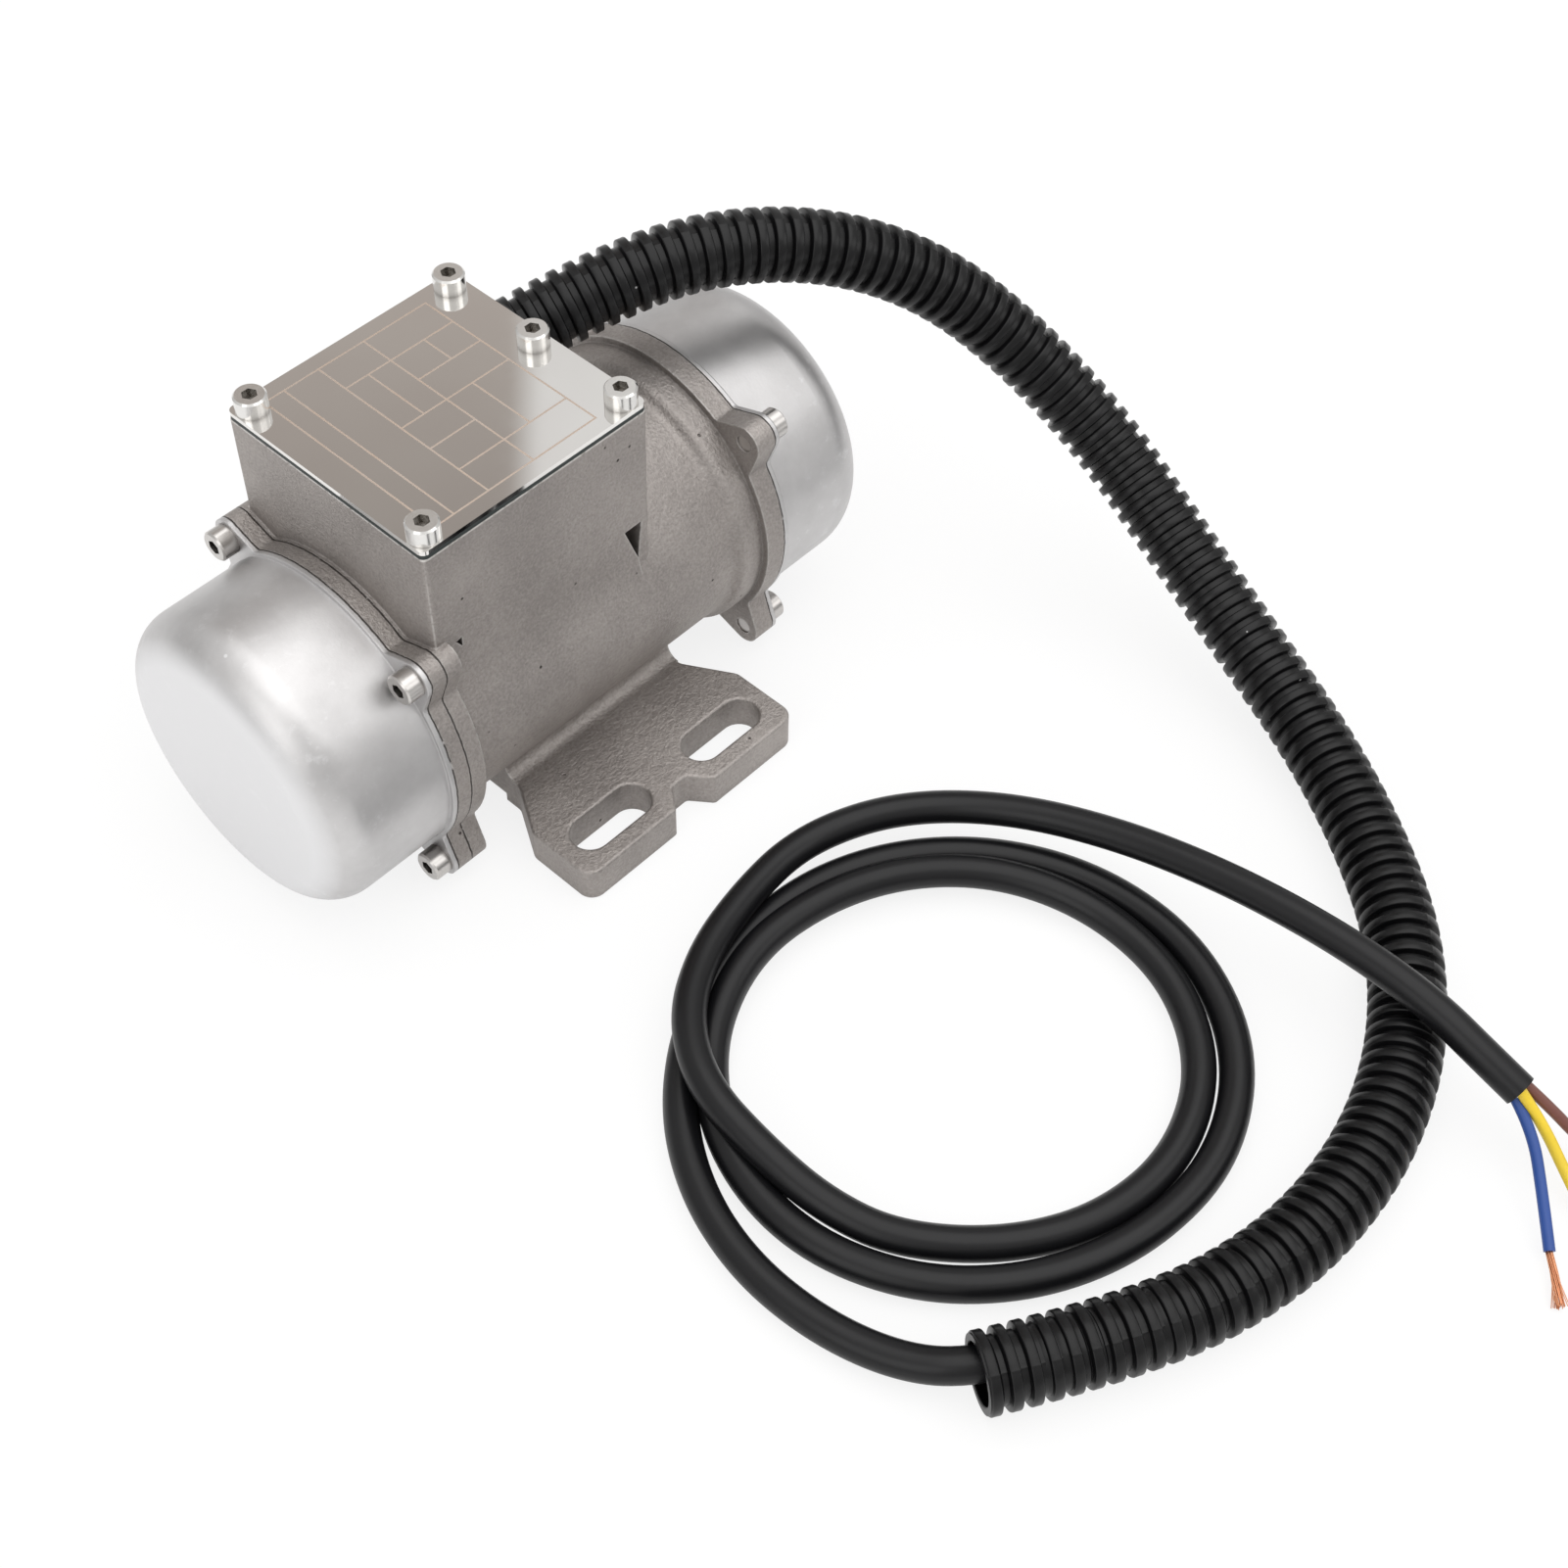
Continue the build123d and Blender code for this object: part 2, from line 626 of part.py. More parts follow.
# Three cores out of the jacket, each with a bare copper end
end_x, end_y, end_z = tail_route[-1]
core_routes = {
    "blue": [(end_x - 1.6, end_y, end_z + 0.2), (52.5, -239.5, 11.5), (46, -247, 6.5), (38, -253.5, 2.6)],
    "yellow": [(end_x + 0.4, end_y, end_z - 1.5), (58, -241, 9.5), (57, -249.5, 5), (52.5, -257.5, 2.4)],
    "brown": [(end_x + 1.7, end_y, end_z + 0.9), (62, -239, 12), (66, -246.5, 7), (67.5, -255, 2.6)]}
strand_ends = []
for shade, route in core_routes.items():
    cord_tube(route, core_d, f"core_{shade}")
    a, b = Vector(*route[-2]), Vector(*route[-1])
    heading = (b - a).normalized()
    level = Vector(heading.X, heading.Y, 0).normalized()
    tip = Plane(origin=b, z_dir=level)
    strand_ends.append(tip.location * Cylinder(0.8, 11, align=(Align.CENTER, Align.CENTER, Align.MIN)))
save(Compound(strand_ends), "copper_strands")
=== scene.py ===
import json
import math
import random

import bmesh
import bpy
from mathutils import Matrix, Vector

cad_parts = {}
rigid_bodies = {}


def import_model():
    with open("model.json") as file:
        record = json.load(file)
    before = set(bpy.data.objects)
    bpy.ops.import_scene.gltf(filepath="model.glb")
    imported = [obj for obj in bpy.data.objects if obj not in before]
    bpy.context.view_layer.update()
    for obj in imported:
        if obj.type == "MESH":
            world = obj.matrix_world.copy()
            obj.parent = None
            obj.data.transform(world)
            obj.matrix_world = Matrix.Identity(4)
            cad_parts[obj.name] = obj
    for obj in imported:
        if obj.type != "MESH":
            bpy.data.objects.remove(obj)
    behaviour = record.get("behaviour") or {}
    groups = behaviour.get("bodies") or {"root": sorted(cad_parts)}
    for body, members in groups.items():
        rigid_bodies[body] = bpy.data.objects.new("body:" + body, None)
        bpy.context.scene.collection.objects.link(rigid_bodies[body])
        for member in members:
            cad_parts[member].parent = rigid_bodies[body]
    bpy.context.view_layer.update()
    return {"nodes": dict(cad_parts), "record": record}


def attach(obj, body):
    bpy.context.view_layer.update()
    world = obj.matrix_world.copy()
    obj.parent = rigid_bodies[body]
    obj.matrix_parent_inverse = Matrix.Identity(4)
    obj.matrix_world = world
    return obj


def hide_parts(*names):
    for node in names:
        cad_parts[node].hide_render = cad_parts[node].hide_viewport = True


for item in list(bpy.data.objects):  # the start-up cube, lamp and camera
    bpy.data.objects.remove(item)

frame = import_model()
mm = 0.001
print("frame loaded")


# Camera, at the photograph's viewing angle
camera = {
    "place": (-0.23314, -0.29169, 0.41892),
    "azimuth": -48.347,
    "elevation": 51.018,
    "roll": 1.596,
    "lens": 54.21,
    "shift": (-0.0026, 0.0045),
}


def makeCamera(values):
    a, e, r = (math.radians(values[key]) for key in ("azimuth", "elevation", "roll"))
    back = Vector((math.sin(a) * math.cos(e), -math.cos(a) * math.cos(e), math.sin(e)))
    right = Vector((math.cos(a), math.sin(a), 0))
    up = back.cross(right)
    across = right * math.cos(r) + up * math.sin(r)
    upright = up * math.cos(r) - right * math.sin(r)
    turn = Matrix((across, upright, back)).transposed().to_4x4()
    data = bpy.data.cameras.new("camera")
    data.lens = values["lens"]
    data.shift_x, data.shift_y = values["shift"]
    data.clip_start, data.clip_end = 0.01, 50
    eye = bpy.data.objects.new("camera", data)
    eye.matrix_world = Matrix.Translation(values["place"]) @ turn
    bpy.context.scene.collection.objects.link(eye)
    bpy.context.scene.camera = eye


makeCamera(camera)
bpy.context.scene.view_settings.view_transform = "Standard"
print("camera set")


# Shader sums read as Python: a wire is an output socket
class Wire:
    def __init__(self, nodes, socket):
        self.nodes, self.socket = nodes, socket

    def sum(self, operation, first, second=0.0):
        return self.nodes.add("ShaderNodeMath", {"operation": operation}, {0: first, 1: second})

    def __add__(self, other):
        return self.sum("ADD", self, other)

    def __radd__(self, other):
        return self.sum("ADD", other, self)

    def __sub__(self, other):
        return self.sum("SUBTRACT", self, other)

    def __rsub__(self, other):
        return self.sum("SUBTRACT", other, self)

    def __mul__(self, other):
        return self.sum("MULTIPLY", self, other)

    def __rmul__(self, other):
        return self.sum("MULTIPLY", other, self)

    def __truediv__(self, other):
        return self.sum("DIVIDE", self, other)

    def __lt__(self, other):
        return self.sum("LESS_THAN", self, other)

    def __gt__(self, other):
        return self.sum("GREATER_THAN", self, other)

    def __abs__(self):
        return self.sum("ABSOLUTE", self)


class Nodes:  # adds nodes to one material or world
    def __init__(self, tree, spot):
        self.tree = tree
        self.spot = self.add("ShaderNodeTexCoord", {}, {}, spot)

    def add(self, kind, settings, inputs, output=0):
        node = self.tree.nodes.new(kind)
        for key, value in settings.items():
            setattr(node, key, value)
        for key, value in inputs.items():
            if isinstance(value, Wire):
                self.tree.links.new(value.socket, node.inputs[key])
            else:
                node.inputs[key].default_value = value
        return Wire(self, node.outputs[output])

    def ramp(self, value, low, high):
        limits = {"Value": value, "From Min": low, "From Max": high}
        return self.add("ShaderNodeMapRange", {"clamp": True}, limits)

    def blend(self, share, first, second):
        return self.add("ShaderNodeMix", {"data_type": "RGBA"}, {0: share, 6: first, 7: second}, 2)

    def alike(self, first, second):  # 1 where two directions are the same
        inputs = {0: first, 1: second}
        return self.add("ShaderNodeVectorMath", {"operation": "DOT_PRODUCT"}, inputs, "Value")


# How the painted-shade lines between two layers wander and break off, in millimetres and noise levels
seamLook = {"scale": 600, "wander": 0.18, "gapScale": 330, "gaps": (0.30, 0.38)}


class Finish(Nodes):
    def __init__(self, name, **fixed):
        self.made = bpy.data.materials.new(name)
        self.made.use_nodes = True
        super().__init__(self.made.node_tree, "Object")
        self.shader = self.tree.nodes["Principled BSDF"]
        for socket, value in fixed.items():
            self.shader.inputs[socket.replace("_", " ")].default_value = value

    def noise(self, scale, detail=2.0, rough=0.5):
        inputs = {"Vector": self.spot, "Scale": scale, "Detail": detail, "Roughness": rough}
        return self.add("ShaderNodeTexNoise", {}, inputs, "Fac")

    def cells(self, scale, output="Distance"):
        return self.add("ShaderNodeTexVoronoi", {}, {"Vector": self.spot, "Scale": scale}, output)

    def split(self, output):
        return self.add("ShaderNodeSeparateXYZ", {}, {0: self.spot}, output)

    def specks(self, scale, size, share):  # small round spots in some of the cells
        tint = self.cells(scale, "Color")
        chosen = self.add("ShaderNodeSeparateColor", {}, {0: tint}) < share
        return self.ramp(self.cells(scale), size, size * 0.6) * chosen

    def corners(self, box):  # a thin painted highlight down the terminal box's upright edges
        x, y, z = (self.split(axis) / mm for axis in "XYZ")
        close = (box["top"] - z) * box["draft"]
        middle, halfLong = (box["left"] + box["right"]) / 2, (box["right"] - box["left"]) / 2
        lines = self.ramp(z, *box["rise"])
        for over in (abs(x - middle) + close - halfLong, abs(y) + close - box["half"]):
            lines = lines * self.ramp(over, *box["inside"]) * self.ramp(over, *box["outside"])
        return lines

    def edgeHighlight(self, radius):  # painted highlight along outer edges, kept out of the corners
        bevel = self.add("ShaderNodeBevel", {"samples": 6}, {"Radius": radius})
        flat = self.add("ShaderNodeNewGeometry", {}, {}, "Normal")
        return self.ramp(self.alike(bevel, flat), 0.985, 0.88) * self.ramp(self.open(0.002), 0.5, 0.8)

    def open(self, reach):  # 1 on open surfaces, falling towards 0 in corners and holes
        return self.add("ShaderNodeAmbientOcclusion", {"samples": 6}, {"Distance": reach}, "AO")

    def seams(self, places, half):  # painted shade: uneven dark lines round the shaft, where two layers meet
        lines = 0.0
        wander = seamLook["wander"]
        across = self.split("X") / mm + self.noise(seamLook["scale"], 4) * (2 * wander) - wander
        for place in places:
            lines = self.ramp(abs(across - place), half, half * 0.5) + lines
        kept = self.ramp(self.noise(seamLook["gapScale"], 3), *seamLook["gaps"])
        return self.ramp(lines, 0, 1) * kept

    def bump(self, height, depth, strength=1.0, edge=0.0):
        inputs = {"Strength": strength, "Distance": depth, "Height": height}
        if edge:
            inputs["Normal"] = self.add("ShaderNodeBevel", {"samples": 4}, {"Radius": edge})
        return self.add("ShaderNodeBump", {}, inputs)

    def feed(self, **wires):
        for socket, wire in wires.items():
            self.tree.links.new(wire.socket, self.shader.inputs[socket.replace("_", " ")])
        return self.made


def shade(r, g, b):
    return (r, g, b, 1.0)


# Blasted cast steel: cloudy warm grey, fine grain, a few dark pits and edges pale from rubbing, with
# painted edge highlights and painted shade in joints, corners and holes
castLook = {
    "light": shade(0.425, 0.394, 0.374), "dark": shade(0.300, 0.276, 0.262),
    # dark for pits and for painted shade in joints, corners and holes; pale for edges rubbed bare and for
    # painted edge highlights
    "pitAndShade": shade(0.05, 0.042, 0.038), "rubbedAndHighlight": shade(0.62, 0.60, 0.58),
    "cloud": 45, "grain": 1500, "lumps": 600,
    "pitScale": 300, "pitSize": 0.13, "pitShare": 0.09, "patchScale": 80, "patches": (0.40, 0.50),
    # noise that breaks up the rubbing and the painted highlights, the painted edge highlights' width, and
    # how far painted shade reaches into corners
    "breakScale": 900, "breaks": (0.30, 0.48), "edgeHighlightRadius": 0.0008, "shadeReach": 0.004,
    "seams": (-49.6, -45.7, 50.1), "seamHalf": 0.24,
    "depth": 0.0002, "edge": 0.0005,
    # the terminal box's outline, for the rim band and the painted highlights down its upright edges
    "box": {"left": -44.6, "right": 15.7, "half": 29.4, "top": 95.56, "draft": 0.009, "lip": (0.6, 0.4),
            "rise": (60, 64), "inside": (-0.45, -0.2), "outside": (0.3, 0.15)},
}


def castSteel(look):
    finish = Finish("castSteel", Metallic=0.88)
    box = look["box"]
    cloud = finish.noise(look["cloud"], 4, 0.6)
    grain = finish.noise(look["grain"], 3, 0.6)
    pits = finish.specks(look["pitScale"], look["pitSize"], look["pitShare"])
    pits = pits * finish.ramp(finish.noise(look["patchScale"], 2), *look["patches"])
    # painted shade: dark lines where the layers meet
    seam = finish.seams(look["seams"], look["seamHalf"])
    lip = finish.ramp(finish.split("Z") / mm, *(box["top"] - down for down in box["lip"]))
    breaks = finish.ramp(finish.noise(look["breakScale"], 3), *look["breaks"])
    # a lighter band along the box's top rim, with painted highlights down its upright edges and along outer
    # edges, broken up by noise
    rubbedAndHighlight = lip + finish.corners(box) + finish.edgeHighlight(look["edgeHighlightRadius"]) * 0.9
    rubbedAndHighlight = finish.ramp(rubbedAndHighlight, 0, 1) * breaks
    tone = finish.blend(finish.ramp(cloud * 0.45 + grain * 0.55, 0.38, 0.62), look["dark"], look["light"])
    tone = finish.blend(rubbedAndHighlight * 0.85, tone, look["rubbedAndHighlight"])
    # painted shade: darker towards corners and holes
    tone = finish.blend(finish.ramp(finish.open(look["shadeReach"]), 0.8, 0.2) * 0.3, tone, look["pitAndShade"])
    height = grain - pits * 2.0 + finish.noise(look["lumps"], 2) * 0.8 - seam * 2.5
    return finish.feed(
        # dark pits, and painted shade along the joints
        Base_Color=finish.blend(finish.ramp(pits + seam * 0.9, 0, 1), tone, look["pitAndShade"]),
        Roughness=0.46 + cloud * 0.10 + grain * 0.06 - rubbedAndHighlight * 0.18,
        Normal=finish.bump(height, look["depth"], 1.0, look["edge"]))


# Satin pressed steel with faint smears, bright specks and water marks; painted shade at the joints and a
# painted reflection lightening the flat ends
satinLook = {
    "light": shade(0.64, 0.632, 0.632), "dark": shade(0.52, 0.512, 0.512),
    # pale for the painted reflection on the flat ends, dark for the painted shade at the joints
    "mark": shade(0.86, 0.86, 0.87), "end": shade(0.78, 0.78, 0.79), "seam": shade(0.06, 0.05, 0.045),
    "smear": 55, "fine": 1500, "markScale": 260, "marks": (0.56, 0.72), "dryScale": 24, "dry": (0.45, 0.62),
    "speckScale": 200, "speckSize": 0.10, "speckShare": 0.06,
    "endFrom": 77.5, "endTo": 80.6, "seams": (-49.6, 50.1), "seamHalf": 0.22,
    "depth": 0.00004, "edge": 0.0005,
}


def satinSteel(look):
    finish = Finish("satinSteel", Metallic=1.0)
    smear = finish.noise(look["smear"], 5, 0.65)
    fine = finish.noise(look["fine"], 2)
    marks = finish.ramp(finish.noise(look["markScale"], 5, 0.75), *look["marks"])
    marks = marks * finish.ramp(finish.noise(look["dryScale"], 2), *look["dry"])
    specks = finish.specks(look["speckScale"], look["speckSize"], look["speckShare"])
    # painted shade along the joints
    seam = finish.seams(look["seams"], look["seamHalf"])
    # painted reflection: the covers' flat ends are made lighter
    end = finish.ramp(abs(finish.split("X") / mm), look["endFrom"], look["endTo"])
    tone = finish.blend(finish.ramp(smear, 0.3, 0.7), look["dark"], look["light"])
    tone = finish.blend(end * 0.9, tone, look["end"])
    tone = finish.blend(finish.ramp(marks * 0.6 + specks * 0.7, 0, 1), tone, look["mark"])
    return finish.feed(
        # the joints get painted shade
        Base_Color=finish.blend(seam * 0.9, tone, look["seam"]),
        Roughness=0.38 + smear * 0.12 + marks * 0.12,
        Normal=finish.bump(fine + smear * 0.5 - seam * 3.0, look["depth"], 0.4, look["edge"]))


# Polished lid with a burnt-in ruled table of empty cells
lidLook = {
    "light": shade(0.80, 0.79, 0.77), "dark": shade(0.76, 0.74, 0.72), "wave": 35, "scratch": 300,
    "face": 0.0974, "frame": (-38.0, -25.5, 5.0, 25.5), "half": 0.22, "ruled": shade(0.54, 0.43, 0.35),
    "across": ((-33.0, -25.5, 25.5), (-24.0, -25.5, 25.5), (-12.0, -25.5, 25.5)),
    "rows": ((-17.0, -24.0, 5.0), (-8.5, -24.0, -12.0), (0.0, -24.0, 5.0), (8.5, -12.0, 5.0),
             (17.0, -24.0, 5.0)),
    "cuts": ((-5.0, -17.0, 0.0), (-3.0, 8.5, 17.0), (-18.0, 0.0, 17.0)),
}


def polishedLid(look):
    finish = Finish("polishedLid", Metallic=1.0)
    x, y = finish.split("X") / mm, finish.split("Y") / mm
    x0, y0, x1, y1 = look["frame"]
    strokes = [(x0, x1, y0, y0), (x0, x1, y1, y1), (x0, x0, y0, y1), (x1, x1, y0, y1)]
    strokes += [(at, at, low, high) for at, low, high in look["across"] + look["cuts"]]
    strokes += [(low, high, at, at) for at, low, high in look["rows"]]
    lines = 0.0
    for left, right, low, high in strokes:
        reachX, reachY = (right - left) / 2 + look["half"], (high - low) / 2 + look["half"]
        inside = (abs(x - (left + right) / 2) < reachX) * (abs(y - (low + high) / 2) < reachY)
        lines = inside + lines
    top = finish.split("Z") > look["face"]
    etched = finish.ramp(lines, 0, 1) * top * (finish.noise(150, 3) * 0.4 + 0.65)
    wave = finish.noise(look["wave"], 2)
    scratch = finish.noise(look["scratch"], 4, 0.7)
    tone = finish.blend(finish.ramp(wave, 0.3, 0.7), look["dark"], look["light"])
    return finish.feed(
        Base_Color=finish.blend(etched, tone, look["ruled"]),
        Roughness=0.03 + scratch * 0.03 + etched * 0.5,
        Normal=finish.bump(wave + scratch * 0.02, 0.00002, 0.3))


# Plainer metals and mouldings, each with its own tone and roughness
# dark brown painted shade for screw sockets, and a grey for dust
socketShade, dustTone = shade(0.06, 0.045, 0.03), shade(0.55, 0.55, 0.55)


def bareSteel(name, tone, roughness, shadeReach=0.0):
    finish = Finish(name, Metallic=1.0)
    smear = finish.noise(500, 3)
    colour = finish.blend(smear, shade(*(part * 0.9 for part in tone)), shade(*tone))
    if shadeReach:  # painted shade, darker down in the socket
        colour = finish.blend(finish.ramp(finish.open(shadeReach), 0.75, 0.25), colour, socketShade)
    return finish.feed(
        Base_Color=colour,
        Roughness=smear * 0.06 + roughness,
        Normal=finish.bump(smear, 0.00001, 0.2))


def moulded(name, tone, roughness, dust=0.0, shine=0.5):
    finish = Finish(name, Metallic=0.0, Specular_IOR_Level=shine)
    cloud = finish.noise(90, 3)
    fine = finish.noise(900, 3)
    colour = finish.blend(cloud, shade(*(part * 0.8 for part in tone)), shade(*tone))
    if dust:
        colour = finish.blend(finish.specks(330, 0.10, dust), colour, dustTone)
    return finish.feed(
        Base_Color=colour,
        Roughness=cloud * 0.12 + fine * 0.06 + roughness,
        Normal=finish.bump(fine, 0.00003, 0.5))


finishes = {
    "casting": castSteel(castLook),
    "cover": satinSteel(satinLook),
    "lid": polishedLid(lidLook),
    # the last value on the screw lines is how far the painted shade reaches into the socket
    "lidScrew": bareSteel("polishedScrew", (0.80, 0.79, 0.77), 0.17, shadeReach=0.0025),
    "screw": bareSteel("dullScrew", (0.60, 0.58, 0.56), 0.26, shadeReach=0.0025),
    "gasket": moulded("gasketRubber", (0.012, 0.020, 0.019), 0.45),
    "lamination": bareSteel("coreSteel", (0.30, 0.30, 0.31), 0.45),
    "copper": bareSteel("windingCopper", (0.72, 0.36, 0.20), 0.3),
    "shaft": bareSteel("groundSteel", (0.66, 0.66, 0.66), 0.2),
    "rotor_ring": bareSteel("castAluminium", (0.75, 0.75, 0.76), 0.4),
    "bearing": bareSteel("bearingSteel", (0.80, 0.80, 0.80), 0.1),
    "cage": moulded("cageNylon", (0.55, 0.50, 0.38), 0.5),
    "weight": bareSteel("weightSteel", (0.50, 0.50, 0.50), 0.4),
    "capacitor": moulded("capacitorCase", (0.75, 0.74, 0.69), 0.45),
    "terminal": moulded("terminalBlock", (0.80, 0.79, 0.75), 0.4),
    "bush": moulded("bushRubber", (0.02, 0.02, 0.02), 0.5),
    "conduit": moulded("conduitPlastic", (0.004, 0.004, 0.0045), 0.22, dust=0.012, shine=0.28),
    "jacket": moulded("cableJacket", (0.006, 0.006, 0.007), 0.25, dust=0.006, shine=0.30),
    "blue": moulded("blueInsulation", (0.018, 0.070, 0.30), 0.35),
    "yellow": moulded("yellowInsulation", (0.86, 0.62, 0.03), 0.35),
    "brown": moulded("brownInsulation", (0.17, 0.060, 0.045), 0.35),
    "wire": bareSteel("strandCopper", (0.75, 0.36, 0.20), 0.25),
}
slotOf = {row["node"]: row["material_slot"] for row in frame["record"]["subparts"]}


def dress(piece, finish):
    piece.data.materials.clear()
    piece.data.materials.append(finishes[finish])


for node, piece in frame["nodes"].items():
    dress(piece, "lidScrew" if node == "lid_screws" else slotOf[node])
print("finishes made")


# Cords: route points in millimetres, within 10 of the solid model's tubes
def routeCurve(name, points, thick=0.0, steps=10):
    curve = bpy.data.curves.new(name, "CURVE")
    curve.dimensions = "3D"
    curve.resolution_u = steps
    curve.bevel_depth = thick * mm / 2
    curve.bevel_resolution = 7
    curve.use_fill_caps = thick > 0
    spline = curve.splines.new("NURBS")
    spline.points.add(len(points) - 1)
    for spot, place in zip(spline.points, points):
        spot.co = [part * mm for part in place] + [1]
    spline.order_u = 3
    spline.use_endpoint_u = True
    piece = bpy.data.objects.new(name, curve)
    bpy.context.scene.collection.objects.link(piece)
    return piece


def pointsAlong(points):  # read from the route's own NURBS line
    piece = routeCurve("routeLine", points, steps=60)
    mesh = bpy.data.meshes.new_from_object(piece)
    line = [vertex.co.copy() for vertex in mesh.vertices]
    bpy.data.objects.remove(piece)
    bpy.data.meshes.remove(mesh)
    return line


class Track:  # a line read by its length, with a side direction that doesn't twist
    def __init__(self, line, side):
        self.line, self.at = line, [0.0]
        for a, b in zip(line, line[1:]):
            self.at.append(self.at[-1] + (b - a).length)
        behind, ahead = line[:1] + line[:-1], line[1:] + line[-1:]
        self.ways = [(b - a).normalized() for a, b in zip(behind, ahead)]
        side = Vector(side)
        self.sides = []
        for way in self.ways:
            side = (side - way * side.dot(way)).normalized()
            self.sides.append(side)
        self.length, self.last = self.at[-1], 0

    def place(self, distance):
        i = 0 if distance < self.at[self.last] else self.last
        while i < len(self.at) - 2 and self.at[i + 1] < distance:
            i += 1
        self.last = i
        t = (distance - self.at[i]) / (self.at[i + 1] - self.at[i])
        way = self.ways[i].lerp(self.ways[i + 1], t).normalized()
        side = self.sides[i].lerp(self.sides[i + 1], t)
        side = (side - way * side.dot(way)).normalized()
        return self.line[i].lerp(self.line[i + 1], t), way, side


def newPiece(name, build, smooth):
    mesh = bpy.data.meshes.new(name)
    shape = bmesh.new()
    build(shape)
    bmesh.ops.recalc_face_normals(shape, faces=shape.faces)
    shape.to_mesh(mesh)
    shape.free()
    mesh.shade_smooth()
    mesh.set_sharp_from_angle(angle=math.radians(smooth))
    piece = bpy.data.objects.new(name, mesh)
    bpy.context.scene.collection.objects.link(piece)
    return piece


def skin(shape, rings):  # quads between rings, with one face over each end
    for a, b in zip(rings, rings[1:]):
        for i in range(len(a)):
            j = (i + 1) % len(a)
            shape.faces.new((a[i], a[j], b[j], b[i]))
    shape.faces.new(rings[0])
    shape.faces.new(rings[-1])


# Each rib is (share of the pitch, radius); the mouth and its lining are in metres along the hose
conduitPiece = {
    "route": [
        (19.5, 16.5, 85), (40, 9, 91.5), (64, -1.5, 94), (87, -15, 89), (106.5, -29.5, 76.5),
        (119, -46.5, 59.5), (124.5, -70, 42), (121.5, -96, 27.5), (116.5, -121, 17), (109, -146.5, 10.5),
        (95, -172, 8.2), (76, -195, 8.2), (50.5, -212, 8.2), (22, -220, 8.2), (-8, -219, 8.2),
        (-37.5, -208, 8.2), (-63.5, -191.5, 8.2)],
    "diameter": 16.4, "pitch": 4.0, "around": 60, "smooth": 38,
    "rib": ((0.0, 6.8), (0.17, 6.8), (0.21, 7.05), (0.23, 7.85), (0.26, 8.1), (0.305, 8.2), (0.50, 8.17),
            (0.695, 8.2), (0.74, 8.1), (0.77, 7.85), (0.79, 7.05), (0.83, 6.8)),
    "crest": 8.18,
    "seam": (0.2, 0.2 + math.pi), "seamClear": 0.06, "seamEdges": (0.035, 0.012), "seamRise": 0.07,
    "mouth": {"at": 0.80, "past": 0.0002, "outer": 7.8, "wall": 0.25},
    "bore": 6.2, "lining": {"deep": 0.06, "pitch": 0.0034, "groove": (0.0016, 0.0024), "cut": 0.9},
}


def makeConduit(values):
    line = pointsAlong(values["route"])
    track = Track(line, (0, 0, 1))
    ribs = round(track.length / (values["pitch"] * mm))
    pitch = track.length / ribs
    angles = [2 * math.pi * i / values["around"] for i in range(values["around"])]
    seams = []
    foot, top = values["seamEdges"]
    for seam in values["seam"]:  # the two moulding lines along the hose
        angles = [a for a in angles if abs(a - seam) > values["seamClear"]]
        seams += [seam - foot, seam - top, seam + top, seam + foot]
    raised = {round(a, 6) for i, a in enumerate(seams) if i % 4 in (1, 2)}
    angles = sorted(angles + seams)

    def ring(shape, distance, radius, seam=0.0):
        spot, way, side = track.place(min(distance, track.length))
        other = way.cross(side)
        made = []
        for a in angles:
            reach = radius + (seam if round(a, 6) in raised else 0.0)
            made.append(shape.verts.new(spot + (side * math.cos(a) + other * math.sin(a)) * reach * mm))
        return made

    def build(shape):
        rings = []
        for k in range(ribs):
            for part, radius in values["rib"]:
                rise = 0.0 if radius > values["crest"] else values["seamRise"]
                rings.append(ring(shape, (k + part) * pitch, radius, rise))
        rings = rings[:-2]  # cut through the last rib's shoulder, square
        mouth, lining, bore = values["mouth"], values["lining"], values["bore"]
        end = (ribs - 1 + mouth["at"]) * pitch
        rings.append(ring(shape, end + mouth["past"], mouth["outer"]))
        rings.append(ring(shape, end + mouth["past"], bore + mouth["wall"]))
        depth = 0.0
        while depth < lining["deep"]:
            rings.append(ring(shape, end - depth, bore))
            rings += [ring(shape, end - depth - part, bore + lining["cut"]) for part in lining["groove"]]
            depth += lining["pitch"]
        skin(shape, rings)

    piece = newPiece("conduit_hose", build, values["smooth"])
    dress(piece, "conduit")
    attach(piece, "base")
    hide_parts("conduit")
    print("conduit length", round(track.length, 4))


makeConduit(conduitPiece)

